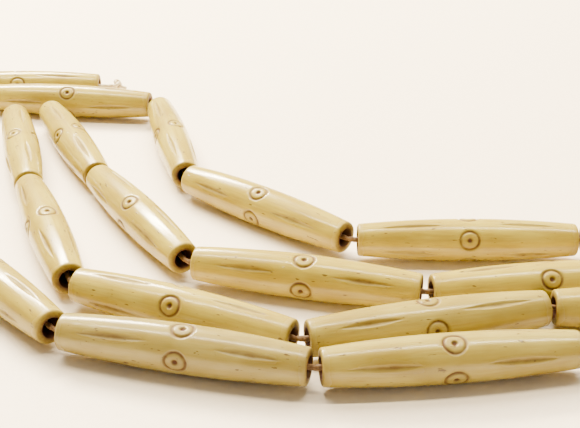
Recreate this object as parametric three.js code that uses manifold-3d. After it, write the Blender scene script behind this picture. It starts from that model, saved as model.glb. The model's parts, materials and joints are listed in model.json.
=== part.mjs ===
// Four strings of carved bone hairpipe beads, gathered in one hank knot and lying on a table.
// Millimetres, +Z up. Each string runs through its beads and ends in a stopper knot.
import * as THREE from "three";
import { mergeVertices } from "three/addons/utils/BufferGeometryUtils.js";
import Module from "manifold-3d";

const wasm = await Module();
wasm.setup();

// Bead: a barrel with a straight bore
const BEAD_LENGTH = 38;
const BELLY_DIAMETER = 7.5;
const END_DIAMETER = 5.7;
const RIM_ROUND = 0.4;
const BORE_DIAMETER = 3.4;
const BEAD_SIDES = 16;
const BARREL_STEPS = 6;

// How far one bead can lift against the one before it, and what stays between their rims
const LIFT_DEGREES = 20;
const RIM_CLEARANCE = 0.3;

// String, cut into one length for each bead
const STRING_DIAMETER = 1;
const STRING_SIDES = 8;
const STRING_CLEARANCE = 0.3;
const ROUND_STEPS = 2;

// Stopper knot at the free end of each string, too big for the bore, and its stiff stub of a tail:
// each point of the tail as a share of its reach and of its drop
const STOPPER_OVERSIZE = 0.4;
const STOPPER_DIAMETER = BORE_DIAMETER + STOPPER_OVERSIZE;
const STOPPER_SIDES = 10;
const TAIL_REACH = 2.0;
const TAIL_DROP = 1.1;
const TAIL_CURVE = [[0, 0], [0.6, 0.5], [1, 1]];
const TAIL_STEPS = 4;

// Hank knot: a lump with turns of string round it
const HANK_KNOT_LENGTH = 9;
const HANK_KNOT_WIDTH = 8;
const HANK_KNOT_SIDES = [16, 12];
const TURN_RADIUS = 0.9;
const TURN_SIDES = [6, 16];
const TURN_PITCH = 1.44;
const TURN_TILTS = [-0.55, 0, 0.55];

// The string tails beyond the hank knot: their reaches, how close together they start, where they
// bend and how deep, and how far apart they end
const HANK_TAIL_REACHES = [9, 10.5, 8.5, 9.5];
const HANK_TAIL_START_SPREAD = 0.6;
const HANK_TAIL_BEND = { reach: 0.3, drop: 0.25 };
const HANK_TAIL_END_SPREAD = 2;
const HANK_TAIL_STEPS = 6;

// The bare leads between the hank knot and the first beads
const LEAD_SPACING = 1.8;
const LEAD_STEPS = 12;
const LEAD_STRAIGHT_AT_BEAD = 3;
const LEAD_STRAIGHT_AT_KNOT = 1.5;

// The runs lie side by side, the end of one bead nested this far in beside the belly of another
const END_NESTING = 2.45;
// A last bead folded back over the end of another string clears it by at least this
const FOLD_CLEARANCE = 0.2;

// A place on the table: its run, counted from the outermost string, and its offset in bead lengths
const HANK_KNOT_AT = { run: 2, offset: [0.4921, 0.0684] };

// Each string: the place where it enters its first bead, the heading of each bead in degrees from
// the hank knot outwards, the slack before the stopper knot, and the string whose end its last
// bead is folded over
const STRINGS = {
  a: {
    start: { run: 3, offset: [-0.4132, 0.1368] },
    headings: [180, 180, 140, 104, 172],
    slack: 2.4,
    foldedOver: "b",
  },
  b: {
    start: { run: 2, offset: [0.0579, 0.1684] },
    headings: [189, 187, 166, 121, 115],
    slack: 0.3,
  },
  c: {
    start: { run: 1, offset: [-0.2605, -0.0342] },
    headings: [180, 193, 156, 112, 107],
    slack: 0.3,
  },
  d: {
    start: { run: 0, offset: [0, 0] },
    headings: [187, 187, 166, 132, 112, 105, 1],
    slack: 2.4,
    foldedOver: "a",
  },
};

const WELD_DISTANCE = 1e-5;
const AXIS_HEIGHT = BELLY_DIAMETER / 2;
const STRING_RADIUS = STRING_DIAMETER / 2;
const MIDDLE_LEAD = (Object.keys(STRINGS).length - 1) / 2;
const STOPPER_RADIUS = STOPPER_DIAMETER / 2;
const RUN_SPACING = BELLY_DIAMETER + END_DIAMETER / 2 - END_NESTING;

const bone = new THREE.MeshStandardMaterial({ color: 0xd9c690, roughness: 0.3, metalness: 0 });
const nylon = new THREE.MeshStandardMaterial({ color: 0xece3cd, roughness: 0.5, metalness: 0 });

const radians = THREE.MathUtils.degToRad;

function toManifold(geometry) {
  geometry.deleteAttribute("normal");
  geometry.deleteAttribute("uv");
  const merged = mergeVertices(geometry, WELD_DISTANCE);
  const mesh = new wasm.Mesh({
    numProp: 3,
    vertProperties: new Float32Array(merged.attributes.position.array),
    triVerts: new Uint32Array(merged.index.array),
  });
  return new wasm.Manifold(mesh);
}

function toGeometry(manifold) {
  const mesh = manifold.getMesh();
  const geometry = new THREE.BufferGeometry();
  geometry.setAttribute("position", new THREE.BufferAttribute(mesh.vertProperties, 3));
  geometry.setIndex(new THREE.BufferAttribute(mesh.triVerts, 1));
  geometry.computeVertexNormals();
  return geometry;
}

function join(geometries) {
  const parts = geometries.map(toManifold);
  return toGeometry(parts.reduce((whole, part) => whole.add(part)));
}

// The total bend between two beads that turn on the table and lift
function largestBend(turn) {
  return Math.acos(Math.cos(turn) * Math.cos(radians(LIFT_DEGREES)));
}

// Half the gap between two beads: their rounded rims stay clear at the largest bend
function halfGap(turn) {
  const half = largestBend(turn) / 2;
  const rimCentre = END_DIAMETER / 2 - RIM_ROUND;
  const reach = rimCentre * Math.sin(half) + RIM_ROUND + RIM_CLEARANCE / 2;
  return reach / Math.cos(half) - RIM_ROUND;
}

// How far a length of string stops short of the pivot it shares with the next length
function stringTrim(turn) {
  return (STRING_CLEARANCE / 2 + STRING_RADIUS) / Math.cos(largestBend(turn) / 2) - STRING_RADIUS;
}

// The turn on the table before the bead at this index
function turnBefore(headings, index) {
  if (index === 0 || index === headings.length) {
    return 0;
  }
  return radians(Math.abs(headings[index] - headings[index - 1]));
}

function directionOf(degrees) {
  return new THREE.Vector3(Math.cos(radians(degrees)), Math.sin(radians(degrees)), 0);
}

function placeOnTable({ run, offset }) {
  const across = run * RUN_SPACING;
  return new THREE.Vector3(offset[0] * BEAD_LENGTH + across, offset[1] * BEAD_LENGTH + across, AXIS_HEIGHT);
}

// Centres of a string's beads, laid out from its start; bare string comes before the last bead
function beadCentres({ start, headings }, bare) {
  const pivot = placeOnTable(start);
  return headings.map((degrees, index) => {
    const direction = directionOf(degrees);
    const gapIn = halfGap(turnBefore(headings, index));
    const gapOut = halfGap(turnBefore(headings, index + 1));
    const centre = pivot.clone().addScaledVector(direction, gapIn + BEAD_LENGTH / 2);
    const bareOut = index === headings.length - 2 ? bare : 0;
    pivot.copy(centre).addScaledVector(direction, BEAD_LENGTH / 2 + gapOut + bareOut);
    return centre;
  });
}

// How far the end of a string, its last bead or its stopper knot, reaches along a normal
function reachOfEnd(string, normal) {
  const outwards = directionOf(string.headings.at(-1));
  const face = beadCentres(string, bareBeforeLast(string)).at(-1);
  face.addScaledVector(outwards, BEAD_LENGTH / 2);
  const stopper = face.clone().addScaledVector(outwards, string.slack + STOPPER_RADIUS);
  return Math.max(face.dot(normal) + END_DIAMETER / 2, stopper.dot(normal) + STOPPER_RADIUS);
}

// Bare string before a folded last bead: as much as its belly needs to clear the end below it
function bareBeforeLast(string) {
  if (!string.foldedOver) {
    return 0;
  }
  const [before, last] = string.headings.slice(-2);
  const side = Math.sign(Math.sin(radians(before - last)));
  const normal = directionOf(last + side * 90);
  const reach = reachOfEnd(STRINGS[string.foldedOver], normal) + BELLY_DIAMETER / 2 + FOLD_CLEARANCE;
  const missing = reach - beadCentres(string, 0).at(-1).dot(normal);
  return Math.max(0, missing / normal.dot(directionOf(before)));
}

// Bead along Y, centred
function beadGeometry() {
  const half = BEAD_LENGTH / 2;
  const end = END_DIAMETER / 2;
  const bore = BORE_DIAMETER / 2;
  const barrel = half - RIM_ROUND;
  const points = [new THREE.Vector2(bore, -half), new THREE.Vector2(end - RIM_ROUND, -half)];
  for (let step = 0; step <= BARREL_STEPS; step += 1) {
    const along = (2 * step) / BARREL_STEPS - 1;
    const radius = end + (BELLY_DIAMETER / 2 - end) * (1 - along * along);
    points.push(new THREE.Vector2(radius, along * barrel));
  }
  points.push(new THREE.Vector2(end - RIM_ROUND, half), new THREE.Vector2(bore, half), points[0].clone());
  return new THREE.LatheGeometry(points, BEAD_SIDES);
}

// Length of string along Y with round ends
function stringGeometry(from, to) {
  const points = [];
  for (const [end, side] of [[from, -1], [to, 1]]) {
    const centre = end - side * STRING_RADIUS;
    for (let step = 0; step <= ROUND_STEPS; step += 1) {
      const angle = (Math.PI / 2) * (side < 0 ? 1 - step / ROUND_STEPS : step / ROUND_STEPS);
      const radius = STRING_RADIUS * Math.cos(angle);
      points.push(new THREE.Vector2(radius, centre + side * STRING_RADIUS * Math.sin(angle)));
    }
  }
  points[0].x = 0;
  points[points.length - 1].x = 0;
  return new THREE.LatheGeometry(points, STRING_SIDES);
}

// Curved string through the given points
function bentStringGeometry(points, steps) {
  const outline = [];
  for (let side = 0; side < STRING_SIDES; side += 1) {
    const angle = (2 * Math.PI * side) / STRING_SIDES;
    outline.push(new THREE.Vector2(STRING_RADIUS * Math.cos(angle), STRING_RADIUS * Math.sin(angle)));
  }
  return new THREE.ExtrudeGeometry(new THREE.Shape(outline), {
    steps,
    extrudePath: new THREE.CatmullRomCurve3(points),
  });
}

// Last length of string along Y with its stopper knot and short tail
function lastStringGeometry(from, slack) {
  const knotAt = BEAD_LENGTH / 2 + slack + STOPPER_RADIUS;
  const knot = new THREE.SphereGeometry(STOPPER_RADIUS, STOPPER_SIDES, STOPPER_SIDES - 2);
  knot.rotateX(Math.PI / 2);
  knot.translate(0, knotAt, 0);
  const tail = bentStringGeometry(
    TAIL_CURVE.map(([out, down]) => new THREE.Vector3(0, knotAt + out * TAIL_REACH, -down * TAIL_DROP)),
    TAIL_STEPS,
  );
  return join([stringGeometry(from, knotAt), knot, tail]);
}

// Hank knot about the origin, with the four string tails leaving it along +X
function hankKnotGeometry() {
  const lump = new THREE.SphereGeometry(1, ...HANK_KNOT_SIDES);
  lump.rotateX(Math.PI / 2);
  lump.scale(HANK_KNOT_LENGTH / 2, HANK_KNOT_WIDTH / 2 - TURN_RADIUS / 2, AXIS_HEIGHT - TURN_RADIUS / 2);
  const parts = [lump];
  const turnCentre = AXIS_HEIGHT - TURN_RADIUS;
  TURN_TILTS.forEach((tilt, index) => {
    const turn = new THREE.TorusGeometry(turnCentre, TURN_RADIUS, ...TURN_SIDES);
    turn.rotateY(Math.PI / 2);
    turn.scale(1, (HANK_KNOT_WIDTH / 2 - TURN_RADIUS) / turnCentre, 1);
    turn.rotateZ(tilt);
    turn.translate((index - 1) * TURN_PITCH, 0, 0);
    parts.push(turn);
  });
  const root = HANK_KNOT_LENGTH / 4;
  const face = HANK_KNOT_LENGTH / 2;
  const { reach: bendReach, drop: bendDrop } = HANK_TAIL_BEND;
  HANK_TAIL_REACHES.forEach((reach, index) => {
    const side = (index - MIDDLE_LEAD) * LEAD_SPACING;
    parts.push(
      bentStringGeometry(
        [
          new THREE.Vector3(root, side * HANK_TAIL_START_SPREAD, 0),
          new THREE.Vector3(face + reach * bendReach, side, -AXIS_HEIGHT * bendDrop),
          new THREE.Vector3(face + reach, side * HANK_TAIL_END_SPREAD, STRING_DIAMETER - AXIS_HEIGHT),
        ],
        HANK_TAIL_STEPS,
      ),
    );
  });
  return join(parts);
}

// Bare string from the hank knot to the pivot in front of the first bead
function leadGeometry(string, index) {
  const side = (MIDDLE_LEAD - index) * LEAD_SPACING;
  const knotFace = HANK_KNOT_LENGTH / 2 + STRING_CLEARANCE;
  const start = placeOnTable(string.start);
  const inwards = directionOf(string.headings[0]).negate();
  const atBead = (distance) => start.clone().addScaledVector(inwards, distance);
  const atKnot = (distance) =>
    placeOnTable(HANK_KNOT_AT).add(new THREE.Vector3(-knotFace - distance, side, 0));
  const points = [
    atBead(stringTrim(0)),
    atBead(LEAD_STRAIGHT_AT_BEAD),
    atKnot(LEAD_STRAIGHT_AT_KNOT),
    atKnot(0),
  ];
  return bentStringGeometry(points, LEAD_STEPS);
}

function named(name, geometry, material) {
  const mesh = new THREE.Mesh(geometry, material.clone());
  mesh.name = name;
  return mesh;
}

// Beads and string lengths of one string, each placed by its centre and heading
function stringOfBeads(letter, string) {
  const group = new THREE.Group();
  const { headings, slack } = string;
  const bare = bareBeforeLast(string);
  beadCentres(string, bare).forEach((centre, index) => {
    const turnIn = turnBefore(headings, index);
    const turnOut = turnBefore(headings, index + 1);
    const bareOut = index === headings.length - 2 ? bare : 0;
    const from = stringTrim(turnIn) - halfGap(turnIn) - BEAD_LENGTH / 2;
    const to = BEAD_LENGTH / 2 + halfGap(turnOut) + bareOut - stringTrim(turnOut);
    const isLast = index === headings.length - 1;
    const thread = isLast ? lastStringGeometry(from, slack) : stringGeometry(from, to);
    const bead = named(`bead_${letter}${index + 1}`, beadGeometry(), bone);
    const length = named(`string_${letter}${index + 1}`, thread, nylon);
    for (const mesh of [bead, length]) {
      mesh.position.copy(centre);
      mesh.rotation.z = radians(headings[index] - 90);
      group.add(mesh);
    }
  });
  return group;
}

const hank = new THREE.Group();
const knot = named("hank_knot", hankKnotGeometry(), nylon);
knot.position.copy(placeOnTable(HANK_KNOT_AT));
hank.add(knot);
Object.entries(STRINGS).forEach(([letter, string], index) => {
  hank.add(named(`lead_${letter}`, leadGeometry(string, index), nylon));
  hank.add(stringOfBeads(letter, string));
});

// The object stands on Z = 0 with the middle of its box over the origin
const box = new THREE.Box3().setFromObject(hank, true);
const middle = box.getCenter(new THREE.Vector3());
hank.position.set(-middle.x, -middle.y, -box.min.z);

const part = new THREE.Group();
part.add(hank);
export default part;
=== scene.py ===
import json
import math
import random

import bpy
import numpy as np
from mathutils import Matrix, Vector


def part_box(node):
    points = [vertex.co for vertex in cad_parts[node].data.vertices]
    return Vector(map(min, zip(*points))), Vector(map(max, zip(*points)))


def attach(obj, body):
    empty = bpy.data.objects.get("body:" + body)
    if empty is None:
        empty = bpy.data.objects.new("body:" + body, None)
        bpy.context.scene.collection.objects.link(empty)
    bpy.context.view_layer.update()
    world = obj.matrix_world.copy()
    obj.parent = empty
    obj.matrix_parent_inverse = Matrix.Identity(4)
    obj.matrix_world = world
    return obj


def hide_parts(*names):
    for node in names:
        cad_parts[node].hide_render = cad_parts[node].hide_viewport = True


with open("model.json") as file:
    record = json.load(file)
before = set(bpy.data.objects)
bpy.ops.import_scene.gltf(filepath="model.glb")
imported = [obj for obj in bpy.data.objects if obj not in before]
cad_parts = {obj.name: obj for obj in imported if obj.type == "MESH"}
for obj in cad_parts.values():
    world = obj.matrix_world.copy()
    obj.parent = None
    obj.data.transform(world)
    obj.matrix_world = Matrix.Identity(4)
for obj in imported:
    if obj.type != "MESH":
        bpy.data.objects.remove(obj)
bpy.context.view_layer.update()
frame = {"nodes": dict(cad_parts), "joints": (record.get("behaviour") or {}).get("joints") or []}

MM = 0.001

# ---- camera, in metres and degrees: low over the table before the strings, looking along +Y ----
CAMERA_AT = (-0.02098, -0.18203, 0.090)
CAMERA_PITCH = 26.7
CAMERA_LENS = 65.2
CAMERA_CLIP = (0.01, 20)
SENSOR_WIDTH = 36

# ---- bead, in millimetres: the barrel ----
HALF_LENGTH = 19.0
BELLY_RADIUS = 3.73
END_RADIUS = 2.85
RIM_ROUND = 0.4
RIM_STEPS = 4
BORE_RADIUS = 1.7
BORE_TAPER = 0.02
BORE_RINGS = 14
BORE_RING_INSET = 0.5
AROUND = 216
FINE_STEP = 0.12
COARSE_STEP = 0.42
BARREL_WAVE = {"depth": 0.014, "terms": 3}
BORE_WAVE = {"depth": 0.09, "terms": 5}

# ---- bead: the carved eyes round its middle ----
CUT_COUNT = 4
EYE_ZONE = 2.5
EYE_TURN_SCATTER = 0.05
EYE_SHIFT_SCATTER = 0.35
EYE_RING_RADIUS = 1.6
EYE_RING_WIDTH = 0.25
EYE_RING_DEPTH = 0.2
# How dark the ring's and the dot's hollows are, with stain and painted shade
EYE_RING_STAIN_AND_SHADE = 0.3
EYE_DOT_RADIUS = 0.45
EYE_DOT_DEPTH = 0.32
EYE_DOT_STAIN_AND_SHADE = 0.85
EYE_HALO = 0.22
EYE_HALO_MARGIN = 0.35

# ---- bead: the leaf-shaped notches on each side of the eyes ----
LEAF_AT = 9.9
LEAF_HALF_LENGTH = 5.4
LEAF_HALF_WIDTH = 0.62
LEAF_DEPTH = 0.24
LEAF_TURN_SCATTER = 0.1
LEAF_SHIFT_SCATTER = 0.6
LEAF_LENGTH_SHARES = (0.88, 1.08)
LEAF_SLANT = 0.035
LEAF_DEPTH_SHARES = (0.8, 1.1)
LEAF_SHADES = (0.55, 0.8)
LEAF_DEPTH_TAPER = 0.7
LEAF_STAIN_TAPER = 0.6
LEAF_SMEAR = 0.35
LEAF_SMEAR_WIDTH = 1.25

# ---- bead: how stained the ends are, and how dark with stain and painted shade, from 0 to 1 ----
# Rings of the end face: share of the way from rim to bore, stain, and darkness of stain and painted
# shade, growing towards the bore
FACE_RINGS = ((0.4, 0.7, 0.05), (0.8, 1.0, 0.3), (1.0, 1.0, 0.75))
BARREL_END_STAIN = 0.2
BARREL_END_REACH = 1.5
RIM_STAIN = 0.12
RIM_STAIN_STEP = 0.1
# How dark the bore is with stain and painted shade, how much painted shade it gains further in, and
# over how many millimetres
BORE_STAIN_AND_SHADE = 0.75
BORE_SHADE_GAIN = 0.2
BORE_SHADE_REACH = 3

# How high the eye nearest the camera stands above the horizontal, in degrees
EYE_ELEVATION = {
    "a1": 35, "a2": 28, "a3": 70, "a4": 20, "a5": 50,
    "b1": 15, "b2": 45, "b3": -12, "b4": 62, "b5": 30,
    "c1": 50, "c2": 10, "c3": 40, "c4": 5, "c5": 65,
    "d1": 30, "d2": 66, "d3": -2, "d4": 47, "d5": 10, "d6": 55, "d7": 25,
}
# How grey each bead's cream is, from 0, warm yellow, to 1, grey
GREYNESS = {"d3": 0.85, "d2": 0.55, "c2": 0.5, "c1": 0.35, "d1": 0.6, "c3": 0.15, "d4": 0.2}
FIRST_MESH_SEED = 100
FIRST_BONE_SEED = 300

# ---- bone: display colours, each as a yellow and a grey bead have it, then the colours of all ----
LIGHT_BONE = ((181, 162, 56), (150, 136, 74))
WARM_BONE = ((158, 136, 34), (126, 110, 46))
GRAIN_COLOUR = (134, 108, 32)
STREAK_COLOUR = (120, 90, 22)
PORE_COLOUR = (60, 28, 6)
STAIN_COLOUR = (72, 36, 4)
# Dark stain and painted shade, for the bore, the eyes' pits and the end faces' inner rings
DARK_STAIN_AND_SHADE_COLOUR = (66, 22, 3)
# Noise layers: stretch along the bead, scale, detail and roughness of the noise
PATCHES = (0.35, 260, 3, 0.55)
GRAIN = (0.045, 2600, 5, 0.65)
STREAKS = (0.02, 900, 3, 0.6)
PORES = (0.28, 2100, 2, 0.5)
BLOTCHES = (0.6, 700, 4, 0.6)
NOISE_SHIFT = 5
# Ramps: from low, from high, to low, to high
PATCH_RAMP = (0.36, 0.66, 0, 1)
GRAIN_RAMP = (0.46, 0.72, 0, 0.45)
STREAK_RAMP = (0.54, 0.72, 0, 0.26)
PORE_RAMP = (0.68, 0.73, 0, 0.8)
BLOTCH_RAMP = (0.3, 0.62, 0.45, 1.1)
STAIN_RAMP = (0, 1, 0, 0.9)
PATCH_ROUGHNESS = (0.3, 0.7, 0.17, 0.27)
STAIN_ROUGHNESS = (0, 0.6, 0, 0.45)
STAIN_COAT = (0, 0.35, 0.2, 0.0)
PORE_BUMP = 1.5
BONE_BUMP = (0.35, 0.00007)
BONE_SUBSURFACE = (0.12, (1.0, 0.7, 0.35), 0.0012)
BONE_COAT_ROUGHNESS = 0.1
BONE_IOR = 1.45

# ---- string, in millimetres ----
STRING_RADIUS = 0.47
STRING_TWIST_PITCH = 3.2
STRING_PLY_DEPTH = 0.07
STRING_AROUND = 18
STRING_STEP = 0.22
CURVE_SAMPLES = 24
# How small a string's rounded tip gets, as a share of its radius squared
STRING_TIP = 0.04
# Between beads that turn by more than this, in degrees, the string is rounded off
BEND_TO_ROUND = 30
ROUND_BEFORE = 1.8
ROUND_AFTER = 0.9
ROUND_PULL = 0.28
STOPPER_RADIUS = 1.9
STOPPER_TUBE_SHARE = 0.95
STOPPER_STEPS = 120
# Half the width of the stopper knot's formula, and how far it is drawn out along the string
STOPPER_FORMULA_WIDTH = 3.05
STOPPER_STRETCH = 1.15
TAIL_BEND_AT = 1.2
TAIL_END_INSET = 0.15
# Points of the frame's solids that mark a knot's crown and a string's end
CROWN_SHARE = 0.8
TIP_SLICE = 0.02
LEAD_END_SLICE = 0.3

# ---- string: display colours, clean, worn and soiled, and how the surface is ----
NYLON_COLOURS = ((232, 222, 192), (200, 184, 146), (176, 146, 96))
# The same nylon's colours darkened as painted shade, for the string inside the beads and across the
# gaps between them
SHADED_NYLON_COLOURS = ((132, 100, 58), (98, 68, 34), (64, 38, 16))
FIBRES = (0.3, 9000, 3, 0.6)
SOIL = (1, 420, 3, 0.5)
WEAR_RAMP = (0.35, 0.7, 0, 1)
SOIL_RAMP = (0.4, 0.7, 0, 0.6)
FIBRE_ROUGHNESS = (0.3, 0.7, 0.4, 0.6)
NYLON_BUMP = (0.35, 0.00005)
NYLON_SUBSURFACE = (0.2, (1.0, 0.9, 0.8), 0.0005)

# ---- hank knot, in millimetres ----
LEAD_CLEARANCE = 0.3
LEAD_STRAIGHT_AT_BEAD = 3
LEAD_STRAIGHT_AT_KNOT = 1.8
LEAD_INTO_KNOT = 0.6
KNOT_LENGTH = 9.0
KNOT_HALF_WIDTH = 4.0
KNOT_HALF_HEIGHT = 3.75
WRAP_TURNS = 6
WRAP_STEPS = 46
WRAP_INSET = 1.0
WRAP_TUBE_SHARE = 1.05
WRAP_CLEARANCE = 0.1
WRAP_PLUMPNESS = (0.14, 0.72)
BIGHT_TILTS = (0.5, -0.5)
BIGHT_REACH = 5.4
BIGHT_HALF_WIDTH = 3.1
BIGHT_HALF_HEIGHT = 2.7
BIGHT_STEPS = 90
# How far each string's tail reaches past the hank knot
TAIL_REACHES = {"a": 9.5, "b": 8.5, "c": 10.5, "d": 9}
TAIL_END_CLEARANCE = 0.03
TAIL_CROSSING = 0.5

# ---- table, and studio light in metres and watts ----
TABLE_CORNERS = [(-4, -4, 0), (4, -4, 0), (4, 6, 0), (-4, 6, 0)]
TABLE_DROP = 0.00005
TABLE_COLOURS = ((243, 229, 205), (240, 225, 199))
TABLE_SPECKLE = (1, 900, 3, 0.55)
SPECKLE_RAMP = (0.3, 0.7, 0, 1)
TABLE_ROUGHNESS = 0.55
WORLD_COLOUR = (255, 246, 230)
# World brightness, dimmer behind the camera than beyond the strings, faded between two Ys
WORLD_FRONT = 0.32
WORLD_BACK = 1.0
WORLD_FADE = (-0.6, 0.7)
# Name, place, point lit, size, power, display colour, and whether it shows in gloss
LIGHTS = (
    ("key", (-0.28, 0.42, 0.42), (-0.02, 0.0, 0.0), (0.3, 0.05), 17, (255, 240, 210), True),
    ("back", (-0.08, 0.5, 0.62), (0.0, 0.04, 0.0), (1.1, 0.6), 42, (255, 245, 226), False),
    ("front", (0.3, -0.6, 0.4), (0.0, 0.0, 0.0), (0.5, 0.4), 0.6, (255, 248, 238), False),
    ("strip", (0.0, 0.05, 0.6), (0.0, 0.0, 0.0), (0.8, 0.016), 7.5, (255, 242, 214), True),
)

joints = {joint["name"]: joint for joint in frame["joints"]}


def scatter(chance, reach):
    """A seeded number from -reach to reach."""
    return chance.uniform(-reach, reach)


# ---- colours and materials ----
def linear(red, green, blue):
    """A display colour, 0 to 255, as the linear colour a shader takes."""
    def channel(value):
        value /= 255
        return value / 12.92 if value <= 0.04045 else ((value + 0.055) / 1.055) ** 2.4
    return (channel(red), channel(green), channel(blue), 1)


def between(pair, share):
    """The linear colour at a share of the way between two display colours."""
    return tuple(a + (b - a) * share for a, b in zip(linear(*pair[0]), linear(*pair[1])))


class Nodes:
    """Short ways to make and join shader nodes in one material."""

    def __init__(self, name):
        self.material = bpy.data.materials.new(name)
        self.material.use_nodes = True
        self.tree = self.material.node_tree
        self.shader = self.tree.nodes["Principled BSDF"]

    def add(self, kind, **values):
        node = self.tree.nodes.new(kind)
        for key, value in values.items():
            setattr(node, key, value)
        return node

    def join(self, source, target):
        self.tree.links.new(source, target)

    def layer(self, place, shift, settings):
        """Noise drawn out along local Y."""
        stretch, scale, detail, roughness = settings
        mapping = self.add("ShaderNodeMapping")
        mapping.inputs["Scale"].default_value = (1, stretch, 1)
        mapping.inputs["Location"].default_value = shift
        self.join(place, mapping.inputs["Vector"])
        noise = self.add("ShaderNodeTexNoise")
        noise.inputs["Scale"].default_value = scale
        noise.inputs["Detail"].default_value = detail
        noise.inputs["Roughness"].default_value = roughness
        self.join(mapping.outputs["Vector"], noise.inputs["Vector"])
        return noise.outputs["Fac"]

    def ramp(self, value, settings):
        node = self.add("ShaderNodeMapRange")
        for socket, setting in zip(("From Min", "From Max", "To Min", "To Max"), settings):
            node.inputs[socket].default_value = setting
        self.join(value, node.inputs["Value"])
        return node.outputs["Result"]

    def fill(self, socket, value):
        """Sets a socket to a constant or joins another node's output to it."""
        if isinstance(value, (int, float, tuple)):
            socket.default_value = value
        else:
            self.join(value, socket)

    def math(self, operation, first, second):
        node = self.add("ShaderNodeMath", operation=operation)
        self.fill(node.inputs[0], first)
        self.fill(node.inputs[1], second)
        return node.outputs[0]

    def mix(self, share, first, second):
        node = self.add("ShaderNodeMix", data_type="RGBA")
        self.fill(node.inputs[0], share)
        self.fill(node.inputs[6], first)
        self.fill(node.inputs[7], second)
        return node.outputs[2]

    def attribute(self, name, output="Fac"):
        return self.add("ShaderNodeAttribute", attribute_name=name).outputs[output]

    def bump(self, height, strength, distance):
        node = self.add("ShaderNodeBump")
        node.inputs["Strength"].default_value = strength
        node.inputs["Distance"].default_value = distance
        self.join(height, node.inputs["Height"])
        self.join(node.outputs["Normal"], self.shader.inputs["Normal"])

    def subsurface(self, weight, radius, scale):
        self.shader.inputs["Subsurface Weight"].default_value = weight
        self.shader.inputs["Subsurface Radius"].default_value = radius
        self.shader.inputs["Subsurface Scale"].default_value = scale


def bone_material(name, greyness, seed):
    """Polished bone: cream with lengthwise grain, pores, brown stain in every cut, and painted shade
    darkening the bore and the eyes' pits.
    """
    chance = random.Random(seed)
    shift = tuple(scatter(chance, NOISE_SHIFT) for _ in range(3))
    nodes = Nodes(name)
    place = nodes.attribute("place", "Vector")
    patches = nodes.layer(place, shift, PATCHES)
    light, warm = between(LIGHT_BONE, greyness), between(WARM_BONE, greyness)
    colour = nodes.mix(nodes.ramp(patches, PATCH_RAMP), light, warm)
    grain = nodes.layer(place, shift, GRAIN)
    colour = nodes.mix(nodes.ramp(grain, GRAIN_RAMP), colour, linear(*GRAIN_COLOUR))
    streaks = nodes.layer(place, shift, STREAKS)
    colour = nodes.mix(nodes.ramp(streaks, STREAK_RAMP), colour, linear(*STREAK_COLOUR))
    pore = nodes.ramp(nodes.layer(place, shift, PORES), PORE_RAMP)
    colour = nodes.mix(pore, colour, linear(*PORE_COLOUR))
    blotches = nodes.ramp(nodes.layer(place, shift, BLOTCHES), BLOTCH_RAMP)
    stain = nodes.math("MULTIPLY", nodes.attribute("stain"), blotches)
    colour = nodes.mix(nodes.ramp(stain, STAIN_RAMP), colour, linear(*STAIN_COLOUR))
    # Darkens the bore, the eyes' pits and the end faces towards the bore: dark stain and painted shade
    colour = nodes.mix(nodes.attribute("deep"), colour, linear(*DARK_STAIN_AND_SHADE_COLOUR))
    nodes.join(colour, nodes.shader.inputs["Base Color"])
    polish, dullness = nodes.ramp(patches, PATCH_ROUGHNESS), nodes.ramp(stain, STAIN_ROUGHNESS)
    rough = nodes.math("ADD", polish, dullness)
    nodes.join(rough, nodes.shader.inputs["Roughness"])
    nodes.bump(nodes.math("SUBTRACT", grain, nodes.math("MULTIPLY", pore, PORE_BUMP)), *BONE_BUMP)
    nodes.subsurface(*BONE_SUBSURFACE)
    nodes.join(nodes.ramp(stain, STAIN_COAT), nodes.shader.inputs["Coat Weight"])
    nodes.shader.inputs["Coat Roughness"].default_value = BONE_COAT_ROUGHNESS
    nodes.shader.inputs["IOR"].default_value = BONE_IOR
    return nodes.material


def string_material(name, colours):
    """Twisted nylon, faintly see-through, with fine fibres and the dirt of use."""
    clean, worn, soiled = (linear(*colour) for colour in colours)
    nodes = Nodes(name)
    place = nodes.attribute("place", "Vector")
    fibres = nodes.layer(place, (0, 0, 0), FIBRES)
    soil = nodes.layer(place, (0, 0, 0), SOIL)
    colour = nodes.mix(nodes.ramp(fibres, WEAR_RAMP), clean, worn)
    colour = nodes.mix(nodes.ramp(soil, SOIL_RAMP), colour, soiled)
    nodes.join(colour, nodes.shader.inputs["Base Color"])
    nodes.join(nodes.ramp(fibres, FIBRE_ROUGHNESS), nodes.shader.inputs["Roughness"])
    nodes.bump(fibres, *NYLON_BUMP)
    nodes.subsurface(*NYLON_SUBSURFACE)
    return nodes.material


def table_material():
    """Matt white with a faint speckle."""
    nodes = Nodes("table")
    place = nodes.add("ShaderNodeTexCoord").outputs["Object"]
    speckle = nodes.ramp(nodes.layer(place, (0, 0, 0), TABLE_SPECKLE), SPECKLE_RAMP)
    pale, dark = (linear(*colour) for colour in TABLE_COLOURS)
    nodes.join(nodes.mix(speckle, pale, dark), nodes.shader.inputs["Base Color"])
    nodes.shader.inputs["Roughness"].default_value = TABLE_ROUGHNESS
    return nodes.material


# ---- meshes and pieces ----
def grid_mesh(name, rows, closed):
    """A mesh of rings of points, in millimetres; closed joins the last ring to the first."""
    count, around = rows.shape[0], rows.shape[1]
    mesh = bpy.data.meshes.new(name)
    ring = np.arange(around)
    following = (ring + 1) % around
    faces = []
    for row in range(count if closed else count - 1):
        low, high = row * around, ((row + 1) % count) * around
        faces.append(np.stack([low + ring, low + following, high + following, high + ring], axis=1))
    faces = np.concatenate(faces).tolist()
    if not closed:
        faces.append(ring[::-1].tolist())
        faces.append((ring + (count - 1) * around).tolist())
    mesh.from_pydata((rows.reshape(-1, 3) * MM).tolist(), [], faces)
    mesh.polygons.foreach_set("use_smooth", [len(face) == 4 for face in faces])
    mesh.update()
    return mesh


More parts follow.
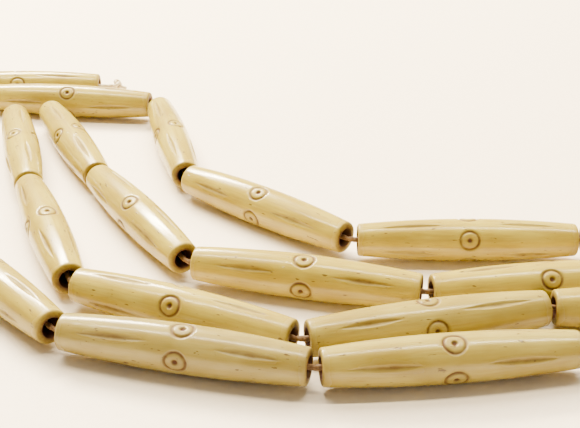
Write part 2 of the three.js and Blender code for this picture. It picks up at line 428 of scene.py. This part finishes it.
def joined_mesh(name, tubes):
    """One mesh of several tubes."""
    parts = [grid_mesh(f"{name}_tube", rows, False) for rows in tubes]
    vertices, faces, smooth = [], [], []
    for part in parts:
        base = len(vertices)
        vertices += [tuple(vertex.co) for vertex in part.vertices]
        faces += [[base + index for index in polygon.vertices] for polygon in part.polygons]
        smooth += [polygon.use_smooth for polygon in part.polygons]
        bpy.data.meshes.remove(part)
    mesh = bpy.data.meshes.new(name)
    mesh.from_pydata(vertices, [], faces)
    mesh.polygons.foreach_set("use_smooth", smooth)
    mesh.update()
    return mesh


def placement(centre, outwards):
    """The matrix that puts local Y along a bead and local Z up."""
    side = Vector((outwards.y, -outwards.x, 0))
    matrix = Matrix((side, outwards, Vector((0, 0, 1)))).transposed().to_4x4()
    matrix.translation = centre
    return matrix


def add_piece(name, mesh, material, matrix, body, node):
    """Puts a mesh in place, and keeps its own coordinates for the material's noise."""
    layer = mesh.attributes.new("place", "FLOAT_VECTOR", "POINT")
    local = np.empty(len(mesh.vertices) * 3, dtype=np.float32)
    mesh.vertices.foreach_get("co", local)
    layer.data.foreach_set("vector", local)
    mesh.transform(matrix)
    piece = bpy.data.objects.new(name, mesh)
    piece.data.materials.append(material)
    bpy.context.scene.collection.objects.link(piece)
    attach(piece, body)
    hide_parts(node)


# ---- beads ----
def wave(chance, angles, terms):
    """A smooth closed wave around a bead, from 0 to 1."""
    counts = range(2, 2 + terms)
    total = sum(np.cos(count * angles + chance.uniform(0, 2 * math.pi)) / count for count in counts)
    return 0.5 + total / (2 * sum(1 / count for count in counts))


def around_bead(angles, centre, radius):
    """Distance round the barrel from a turn about its axis."""
    return radius * (np.mod(angles - centre + math.pi, 2 * math.pi) - math.pi)


def eye_cut(along, angles, radius, turn, chance):
    """Depth, stain, and the darkness of stain and painted shade in its hollows, for one eye: a ring
    round a dot.
    """
    centre = turn + scatter(chance, EYE_TURN_SCATTER)
    across = around_bead(angles, centre, radius)
    distance = np.hypot(along - scatter(chance, EYE_SHIFT_SCATTER), across)
    ring = np.exp(-(((distance - EYE_RING_RADIUS) / EYE_RING_WIDTH) ** 2))
    dot = np.exp(-((distance / EYE_DOT_RADIUS) ** 4))
    halo = EYE_HALO * np.exp(-((distance / (EYE_RING_RADIUS + EYE_HALO_MARGIN)) ** 6))
    depth = np.maximum(EYE_RING_DEPTH * ring, EYE_DOT_DEPTH * dot)
    stain = np.maximum(np.maximum(ring, dot), halo)
    # Dark stain and painted shade in the ring's and the dot's hollows
    pit_stain_and_shade = np.maximum(EYE_RING_STAIN_AND_SHADE * ring, EYE_DOT_STAIN_AND_SHADE * dot)
    return depth, stain, pit_stain_and_shade


def leaf_cut(along, angles, radius, turn, side, chance):
    """Depth and stain of one leaf-shaped notch."""
    centre = turn + scatter(chance, LEAF_TURN_SCATTER)
    offset = along - (side * LEAF_AT + scatter(chance, LEAF_SHIFT_SCATTER))
    reach = LEAF_HALF_LENGTH * chance.uniform(*LEAF_LENGTH_SHARES)
    slant = scatter(chance, LEAF_SLANT)
    across = around_bead(angles, centre, radius) - slant * offset
    leaf = np.clip(1 - (offset / reach) ** 2, 0, 1)
    inside = np.clip(1 - np.abs(across) / (LEAF_HALF_WIDTH * leaf + 1e-6), 0, 1)
    cut = leaf ** LEAF_DEPTH_TAPER * inside * inside * (3 - 2 * inside)
    smear = LEAF_SMEAR * np.exp(-((across / (LEAF_HALF_WIDTH * LEAF_SMEAR_WIDTH)) ** 2)) * leaf
    depth = LEAF_DEPTH * chance.uniform(*LEAF_DEPTH_SHARES) * cut
    stain = chance.uniform(*LEAF_SHADES) * np.maximum(cut ** LEAF_STAIN_TAPER, smear)
    return depth, stain


def carving(along, angles, radius, eye_angle, chance):
    """Depth cut at each point of the barrel, how stained it is, and how dark its pits are with stain
    and painted shade.
    """
    depth = np.zeros(np.broadcast(along, angles).shape)
    stain = np.zeros_like(depth)
    pit_stain_and_shade = np.zeros_like(depth)
    between_cuts = 2 * math.pi / CUT_COUNT
    for index in range(CUT_COUNT):
        eye = eye_cut(along, angles, radius, eye_angle + index * between_cuts, chance)
        depth, stain, pit_stain_and_shade = (np.maximum(old, new) for old, new in zip((depth, stain, pit_stain_and_shade), eye))
    for side in (-1, 1):
        for index in range(CUT_COUNT):
            turn = eye_angle + (index + 0.5) * between_cuts
            leaf = leaf_cut(along, angles, radius, turn, side, chance)
            depth, stain = (np.maximum(old, new) for old, new in zip((depth, stain), leaf))
    return depth, stain, pit_stain_and_shade


def end_rings(side, rim_shape, bore):
    """Rounded rim, flat face and bore edge of one end, from the barrel inwards."""
    made = []
    for step in range(1, RIM_STEPS + 1):
        turn = step / RIM_STEPS * math.pi / 2
        y = side * (HALF_LENGTH - RIM_ROUND + RIM_ROUND * math.sin(turn))
        radii = rim_shape - RIM_ROUND * (1 - math.cos(turn))
        made.append((y, radii, RIM_STAIN + RIM_STAIN_STEP * step, 0.0))
    face = rim_shape - RIM_ROUND
    # Towards the bore the face darkens with stain and painted shade
    for share, stain, deep in FACE_RINGS:
        made.append((side * HALF_LENGTH, face + (bore - face) * share, stain, deep))
    return made


def barrel_rings(angles, shape, eye_angle, chance):
    """The carved barrel, from its low end to its high end."""
    barrel = HALF_LENGTH - RIM_ROUND
    fine = np.arange(-EYE_ZONE, EYE_ZONE + FINE_STEP / 2, FINE_STEP)
    coarse = np.linspace(EYE_ZONE, barrel, int((barrel - EYE_ZONE) / COARSE_STEP) + 1)[1:]
    along = np.concatenate([-coarse[::-1], fine, coarse])
    radius = END_RADIUS + (BELLY_RADIUS - END_RADIUS) * (1 - (along / barrel) ** 2)
    radius = radius[:, None] * (1 - BARREL_WAVE["depth"] * shape[None, :])
    depth, stain, pit_stain_and_shade = carving(along[:, None], angles[None, :], radius, eye_angle, chance)
    near_end = np.clip((np.abs(along) - barrel + BARREL_END_REACH) / BARREL_END_REACH, 0, 1)
    stain = np.maximum(stain, BARREL_END_STAIN * near_end[:, None] ** 2)
    return list(zip(along, radius - depth, stain, pit_stain_and_shade))


def bore_rings(bore):
    """The bore, from its high end to its low end, fully stained, and darker towards its middle with
    painted shade.
    """
    made = []
    for y in np.linspace(HALF_LENGTH - BORE_RING_INSET, BORE_RING_INSET - HALF_LENGTH, BORE_RINGS):
        inside = min(1, (HALF_LENGTH - abs(y)) / BORE_SHADE_REACH)
        made.append((y, bore - BORE_TAPER, 1.0, BORE_STAIN_AND_SHADE + BORE_SHADE_GAIN * inside))
    return made


def bead_mesh(name, eye_angle, seed):
    """A carved barrel with its bore, as one closed run of rings round local Y."""
    chance = random.Random(seed)
    angles = np.arange(AROUND) * 2 * math.pi / AROUND
    shape = wave(chance, angles, BARREL_WAVE["terms"])
    barrel = barrel_rings(angles, shape, eye_angle, chance)
    rim_shape = END_RADIUS * (1 - BARREL_WAVE["depth"] * shape)
    bore = BORE_RADIUS - BORE_WAVE["depth"] * wave(chance, angles, BORE_WAVE["terms"])
    low_end, high_end = (end_rings(side, rim_shape, bore) for side in (-1, 1))
    rings = [*reversed(low_end), *barrel, *high_end, *bore_rings(bore)]
    rows = [
        np.stack([radii * np.cos(angles), np.full(AROUND, y), radii * np.sin(angles)], axis=1)
        for y, radii, _, _ in rings
    ]
    mesh = grid_mesh(name, np.stack(rows), True)
    # Besides the stain, each ring carries the dark stain and painted shade of the hollows
    for label, column in (("stain", 2), ("deep", 3)):
        values = [np.broadcast_to(ring[column], (AROUND,)) for ring in rings]
        layer = mesh.attributes.new(label, "FLOAT", "POINT")
        layer.data.foreach_set("value", np.concatenate(values).astype(np.float32))
    return mesh


def add_bead(bead, number):
    centre, outwards = beads[bead]
    side = Vector((outwards.y, -outwards.x, 0))
    facing = side.dot(Vector(CAMERA_AT) - centre) > 0
    elevation = math.radians(EYE_ELEVATION[bead])
    eye_angle = elevation if facing else math.pi - elevation
    mesh = bead_mesh(f"carved_bead_{bead}", eye_angle, FIRST_MESH_SEED + number)
    material = bone_material(f"bone_{bead}", GREYNESS.get(bead, 0.0), FIRST_BONE_SEED + number)
    matrix = placement(centre, outwards)
    add_piece(f"carved_bead_{bead}", mesh, material, matrix, f"bead_{bead}", f"bead_{bead}")


# ---- string ----
def curve_between(before, first, second, after, t):
    """A point of the smooth curve from first to second."""
    return 0.5 * (
        2 * first
        + (second - before) * t
        + (2 * before - 5 * first + 4 * second - after) * t * t
        + (3 * first - before - 3 * second + after) * t ** 3
    )


def distances_along(path):
    return np.concatenate([[0], np.cumsum(np.linalg.norm(np.diff(path, axis=0), axis=1))])


def smooth_path(points):
    """A curve through the points, as evenly spaced points."""
    points = [np.array(point, dtype=float) for point in points]
    padded = [2 * points[0] - points[1], *points, 2 * points[-1] - points[-2]]
    curve = [
        curve_between(*four, t)
        for four in zip(padded, padded[1:], padded[2:], padded[3:])
        for t in np.linspace(0, 1, CURVE_SAMPLES, endpoint=False)
    ]
    curve = np.array([*curve, points[-1]])
    lengths = distances_along(curve)
    places = np.linspace(0, lengths[-1], max(3, int(lengths[-1] / STRING_STEP) + 1))
    return np.stack([np.interp(places, lengths, curve[:, axis]) for axis in range(3)], axis=1)


def twisted_rows(path, radius=STRING_RADIUS, round_ends=True):
    """Rings of a two-ply twisted string along a path, in millimetres."""
    tangents = np.gradient(path, axis=0)
    tangents /= np.linalg.norm(tangents, axis=1)[:, None]
    lengths = distances_along(path)
    angles = np.arange(STRING_AROUND) * 2 * math.pi / STRING_AROUND
    normal = np.cross(tangents[0], [0.0, 0.0, 1.0])
    if np.linalg.norm(normal) < 1e-3:
        normal = np.array([1.0, 0.0, 0.0])
    rows = []
    for place, tangent, length in zip(path, tangents, lengths):
        normal = normal - tangent * normal.dot(tangent)
        normal /= np.linalg.norm(normal)
        across = np.cross(tangent, normal)
        ply = angles - 2 * math.pi * length / STRING_TWIST_PITCH
        radii = radius - STRING_PLY_DEPTH * (1 - np.abs(np.cos(ply))) * 2
        if round_ends:
            to_end = min(length, lengths[-1] - length)
            radii = radii * math.sqrt(max(STRING_TIP, 1 - max(0.0, 1 - to_end / radius) ** 2))
        ring = np.cos(angles)[:, None] * normal + np.sin(angles)[:, None] * across
        rows.append(place + radii[:, None] * ring)
    return np.array(rows)


def stopper_path(centre_y):
    """An overhand knot about the string's axis, closed on itself inside the stopper's ball."""
    scale = (STOPPER_RADIUS - STRING_RADIUS) / STOPPER_FORMULA_WIDTH
    turns = np.linspace(0, 2 * math.pi, STOPPER_STEPS)
    x = np.sin(turns) + 2 * np.sin(2 * turns)
    z = np.cos(turns) - 2 * np.cos(2 * turns)
    y = -np.sin(3 * turns)
    return np.stack([x * scale, centre_y + y * scale * STOPPER_STRETCH, z * scale], axis=1)


def rounded(first, second):
    """Whether the string turns sharply enough between two beads to be rounded off."""
    turn = beads[first][1].angle(beads[second][1])
    return math.degrees(turn) > BEND_TO_ROUND


def to_pivot(bead, centre):
    """Distance from a bead's centre to the pivot before the bead named."""
    return (Vector(joints[f"lift_{bead}"]["pos_m"]) - centre).length / MM


def last_string_tubes(bead, start):
    """The last string of a run, its stopper knot and its tail, as the frame places them."""
    centre, outwards = (np.array(value) for value in beads[bead])
    vertices = np.array([v.co for v in frame["nodes"][f"string_{bead}"].data.vertices]) - centre
    outward = vertices @ outwards / MM
    knot_y = float(outward[np.abs(vertices[:, 2]) > STOPPER_RADIUS * MM * CROWN_SHARE].mean())
    tail_y = outward.max()
    tail_z = float(vertices[outward > tail_y - TIP_SLICE][:, 2].mean()) / MM
    tail = [
        (0, knot_y, 0),
        (0, knot_y + TAIL_BEND_AT, tail_z * 0.5),
        (0, tail_y - TAIL_END_INSET, tail_z),
    ]
    return [
        twisted_rows(smooth_path([(0, start, 0), (0, knot_y, 0)])),
        twisted_rows(stopper_path(knot_y), STRING_RADIUS * STOPPER_TUBE_SHARE, False),
        twisted_rows(smooth_path(tail)),
    ]


def inner_string_tubes(bead, after, start):
    """The string through one bead, pivot to pivot, rounded off into a sharp turn."""
    centre, outwards = beads[bead]
    onward = to_pivot(after, centre)
    if not rounded(bead, after):
        return [twisted_rows(smooth_path([(0, start, 0), (0, onward + STRING_RADIUS, 0)]))]
    turned = np.array(placement(centre, outwards).to_3x3().transposed() @ beads[after][1])
    pivot = np.array([0, onward, 0])
    back = np.array([0, -1.0, 0])
    route = [
        (0, start, 0),
        pivot + back * ROUND_BEFORE * 2,
        pivot + back * ROUND_BEFORE,
        pivot + (back * ROUND_BEFORE + turned * ROUND_AFTER) * ROUND_PULL,
        pivot + turned * ROUND_AFTER,
    ]
    return [twisted_rows(smooth_path(route))]


def add_string(bead):
    centre, outwards = beads[bead]
    letter, number = bead[0], int(bead[1:])
    before, after = f"{letter}{number - 1}", f"{letter}{number + 1}"
    start = -to_pivot(bead, centre) - STRING_RADIUS
    if before in beads and rounded(before, bead):
        start += ROUND_AFTER
    if after in beads:
        # Inside the beads the string takes the nylon darkened with painted shade
        tubes, material = inner_string_tubes(bead, after, start), shaded_nylon
    else:
        tubes, material = last_string_tubes(bead, start), nylon
    mesh = joined_mesh(f"cord_{bead}", tubes)
    node = f"string_{bead}"
    add_piece(f"cord_{bead}", mesh, material, placement(centre, outwards), node, node)


# ---- leads and hank knot ----
def lead_end(letter):
    """Where a lead meets the hank knot, across the table."""
    vertices = np.array([v.co for v in frame["nodes"][f"lead_{letter}"].data.vertices])
    at_knot = vertices[vertices[:, 0] > vertices[:, 0].max() - LEAD_END_SLICE * MM]
    return float(at_knot[:, 1].mean()) / MM


def add_lead(letter):
    pivot = np.array(joints[f"lift_{letter}1"]["pos_m"]) / MM
    outwards = np.array(beads[f"{letter}1"][1])
    route = [
        pivot + outwards * STRING_RADIUS,
        pivot - outwards * LEAD_STRAIGHT_AT_BEAD,
        (knot_face - LEAD_STRAIGHT_AT_KNOT, lead_ends[letter], axis_height),
        (knot_face + LEAD_INTO_KNOT, lead_ends[letter], axis_height),
    ]
    mesh = joined_mesh(f"cord_lead_{letter}", [twisted_rows(smooth_path(route))])
    add_piece(f"cord_lead_{letter}", mesh, nylon, Matrix.Identity(4), "hank", f"lead_{letter}")


def tail_tube(letter, lift):
    """One string through the hank knot and out to its tail on the table."""
    side = lead_ends[letter] - knot_across
    reach = TAIL_REACHES[letter]
    knot_back = knot_middle + KNOT_LENGTH / 2
    route = [
        (knot_face + 0.2, knot_across + side, axis_height),
        (knot_middle, knot_across + side * 0.5, axis_height + lift),
        (knot_back, knot_across + side * 0.8, axis_height - 0.3),
        (knot_back + reach * 0.4, knot_across + side * 1.2, axis_height * 0.6),
        (knot_back + reach - 0.3, knot_across + side * 2, STRING_RADIUS + TAIL_END_CLEARANCE),
    ]
    return twisted_rows(smooth_path(route))


def wrap_tube():
    """The string wound round the knot, plumpest in the middle."""
    turns = np.linspace(0, 2 * math.pi * WRAP_TURNS, WRAP_STEPS * WRAP_TURNS)
    share = turns / turns[-1]
    first, spread = WRAP_PLUMPNESS
    plump = np.sqrt(np.sin(math.pi * (first + spread * share)))
    half_width = KNOT_HALF_WIDTH - STRING_RADIUS - WRAP_CLEARANCE
    half_height = KNOT_HALF_HEIGHT - STRING_RADIUS - WRAP_CLEARANCE
    x = knot_face + WRAP_INSET + share * (KNOT_LENGTH - 2 * WRAP_INSET)
    y = knot_across + half_width * plump * np.cos(turns)
    z = axis_height + half_height * plump * np.sin(turns)
    return twisted_rows(np.stack([x, y, z], axis=1), STRING_RADIUS * WRAP_TUBE_SHARE)


def bight_tube(tilt):
    """A slanting loop inside the wound string."""
    turns = np.linspace(0, 2 * math.pi, BIGHT_STEPS)
    x = knot_middle + BIGHT_REACH * tilt * np.cos(turns)
    y = knot_across + BIGHT_HALF_WIDTH * np.cos(turns)
    z = axis_height + BIGHT_HALF_HEIGHT * np.sin(turns)
    return twisted_rows(np.stack([x, y, z], axis=1), STRING_RADIUS, False)


def add_hank_knot():
    tubes = []
    for index, letter in enumerate(letters):
        lift = TAIL_CROSSING if index % 2 else -TAIL_CROSSING
        tubes.append(tail_tube(letter, lift))
    tubes.append(wrap_tube())
    tubes += [bight_tube(tilt) for tilt in BIGHT_TILTS]
    mesh = joined_mesh("cord_hank_knot", tubes)
    add_piece("cord_hank_knot", mesh, nylon, Matrix.Identity(4), "hank", "hank_knot")


# ---- camera, table and light ----
def add_camera():
    data = bpy.data.cameras.new("camera")
    data.lens = CAMERA_LENS
    data.sensor_width = SENSOR_WIDTH
    data.clip_start, data.clip_end = CAMERA_CLIP
    camera = bpy.data.objects.new("camera", data)
    camera.location = CAMERA_AT
    camera.rotation_euler = (math.radians(90 - CAMERA_PITCH), 0, 0)
    bpy.context.scene.collection.objects.link(camera)
    bpy.context.scene.camera = camera


def add_table():
    mesh = bpy.data.meshes.new("table")
    mesh.from_pydata(TABLE_CORNERS, [], [(0, 1, 2, 3)])
    mesh.materials.append(table_material())
    table = bpy.data.objects.new("table", mesh)
    table.location.z = -TABLE_DROP
    bpy.context.scene.collection.objects.link(table)


def add_world():
    """A plain warm white, dimmer towards the front."""
    world = bpy.data.worlds.new("studio")
    bpy.context.scene.world = world
    world.use_nodes = True
    tree = world.node_tree
    background = tree.nodes["Background"]
    background.inputs["Color"].default_value = linear(*WORLD_COLOUR)
    sky = tree.nodes.new("ShaderNodeTexCoord")
    split = tree.nodes.new("ShaderNodeSeparateXYZ")
    fade = tree.nodes.new("ShaderNodeMapRange")
    fade.inputs["From Min"].default_value, fade.inputs["From Max"].default_value = WORLD_FADE
    fade.inputs["To Min"].default_value = WORLD_FRONT
    fade.inputs["To Max"].default_value = WORLD_BACK
    tree.links.new(sky.outputs["Generated"], split.inputs["Vector"])
    tree.links.new(split.outputs["Y"], fade.inputs["Value"])
    tree.links.new(fade.outputs["Result"], background.inputs["Strength"])


def add_light(name, at, towards, size, power, colour, glossy):
    data = bpy.data.lights.new(name, "AREA")
    data.shape = "RECTANGLE"
    data.size, data.size_y = size
    data.energy = power
    data.color = linear(*colour)[:3]
    light = bpy.data.objects.new(name, data)
    light.location = at
    light.rotation_euler = (Vector(towards) - Vector(at)).to_track_quat("-Z", "Y").to_euler()
    light.visible_glossy = glossy
    bpy.context.scene.collection.objects.link(light)


# ---- the scene ----
add_camera()

# Each bead's centre, in metres, and the direction along it away from the hank knot
beads = {}
for name, joint in joints.items():
    if name.startswith("spin_"):
        beads[name.removeprefix("spin_")] = (Vector(joint["pos_m"]), Vector(joint["axis"]).normalized())
letters = sorted({bead[0] for bead in beads})

for number, bead in enumerate(beads):
    add_bead(bead, number)

nylon = string_material("nylon", NYLON_COLOURS)
# A darker copy of the nylon, painted shade, for the strings inside the beads
shaded_nylon = string_material("nylon_in_beads", SHADED_NYLON_COLOURS)
for bead in beads:
    add_string(bead)

# The hank knot's near face, middle and place across the table, in millimetres
knot_face = max(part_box(f"lead_{letter}")[1].x for letter in letters) / MM + LEAD_CLEARANCE
knot_middle = knot_face + KNOT_LENGTH / 2
lead_ends = {letter: lead_end(letter) for letter in letters}
knot_across = sum(lead_ends.values()) / len(lead_ends)
axis_height = beads["a1"][0].z / MM
for letter in letters:
    add_lead(letter)
add_hank_knot()

add_table()
add_world()
for light in LIGHTS:
    add_light(*light)
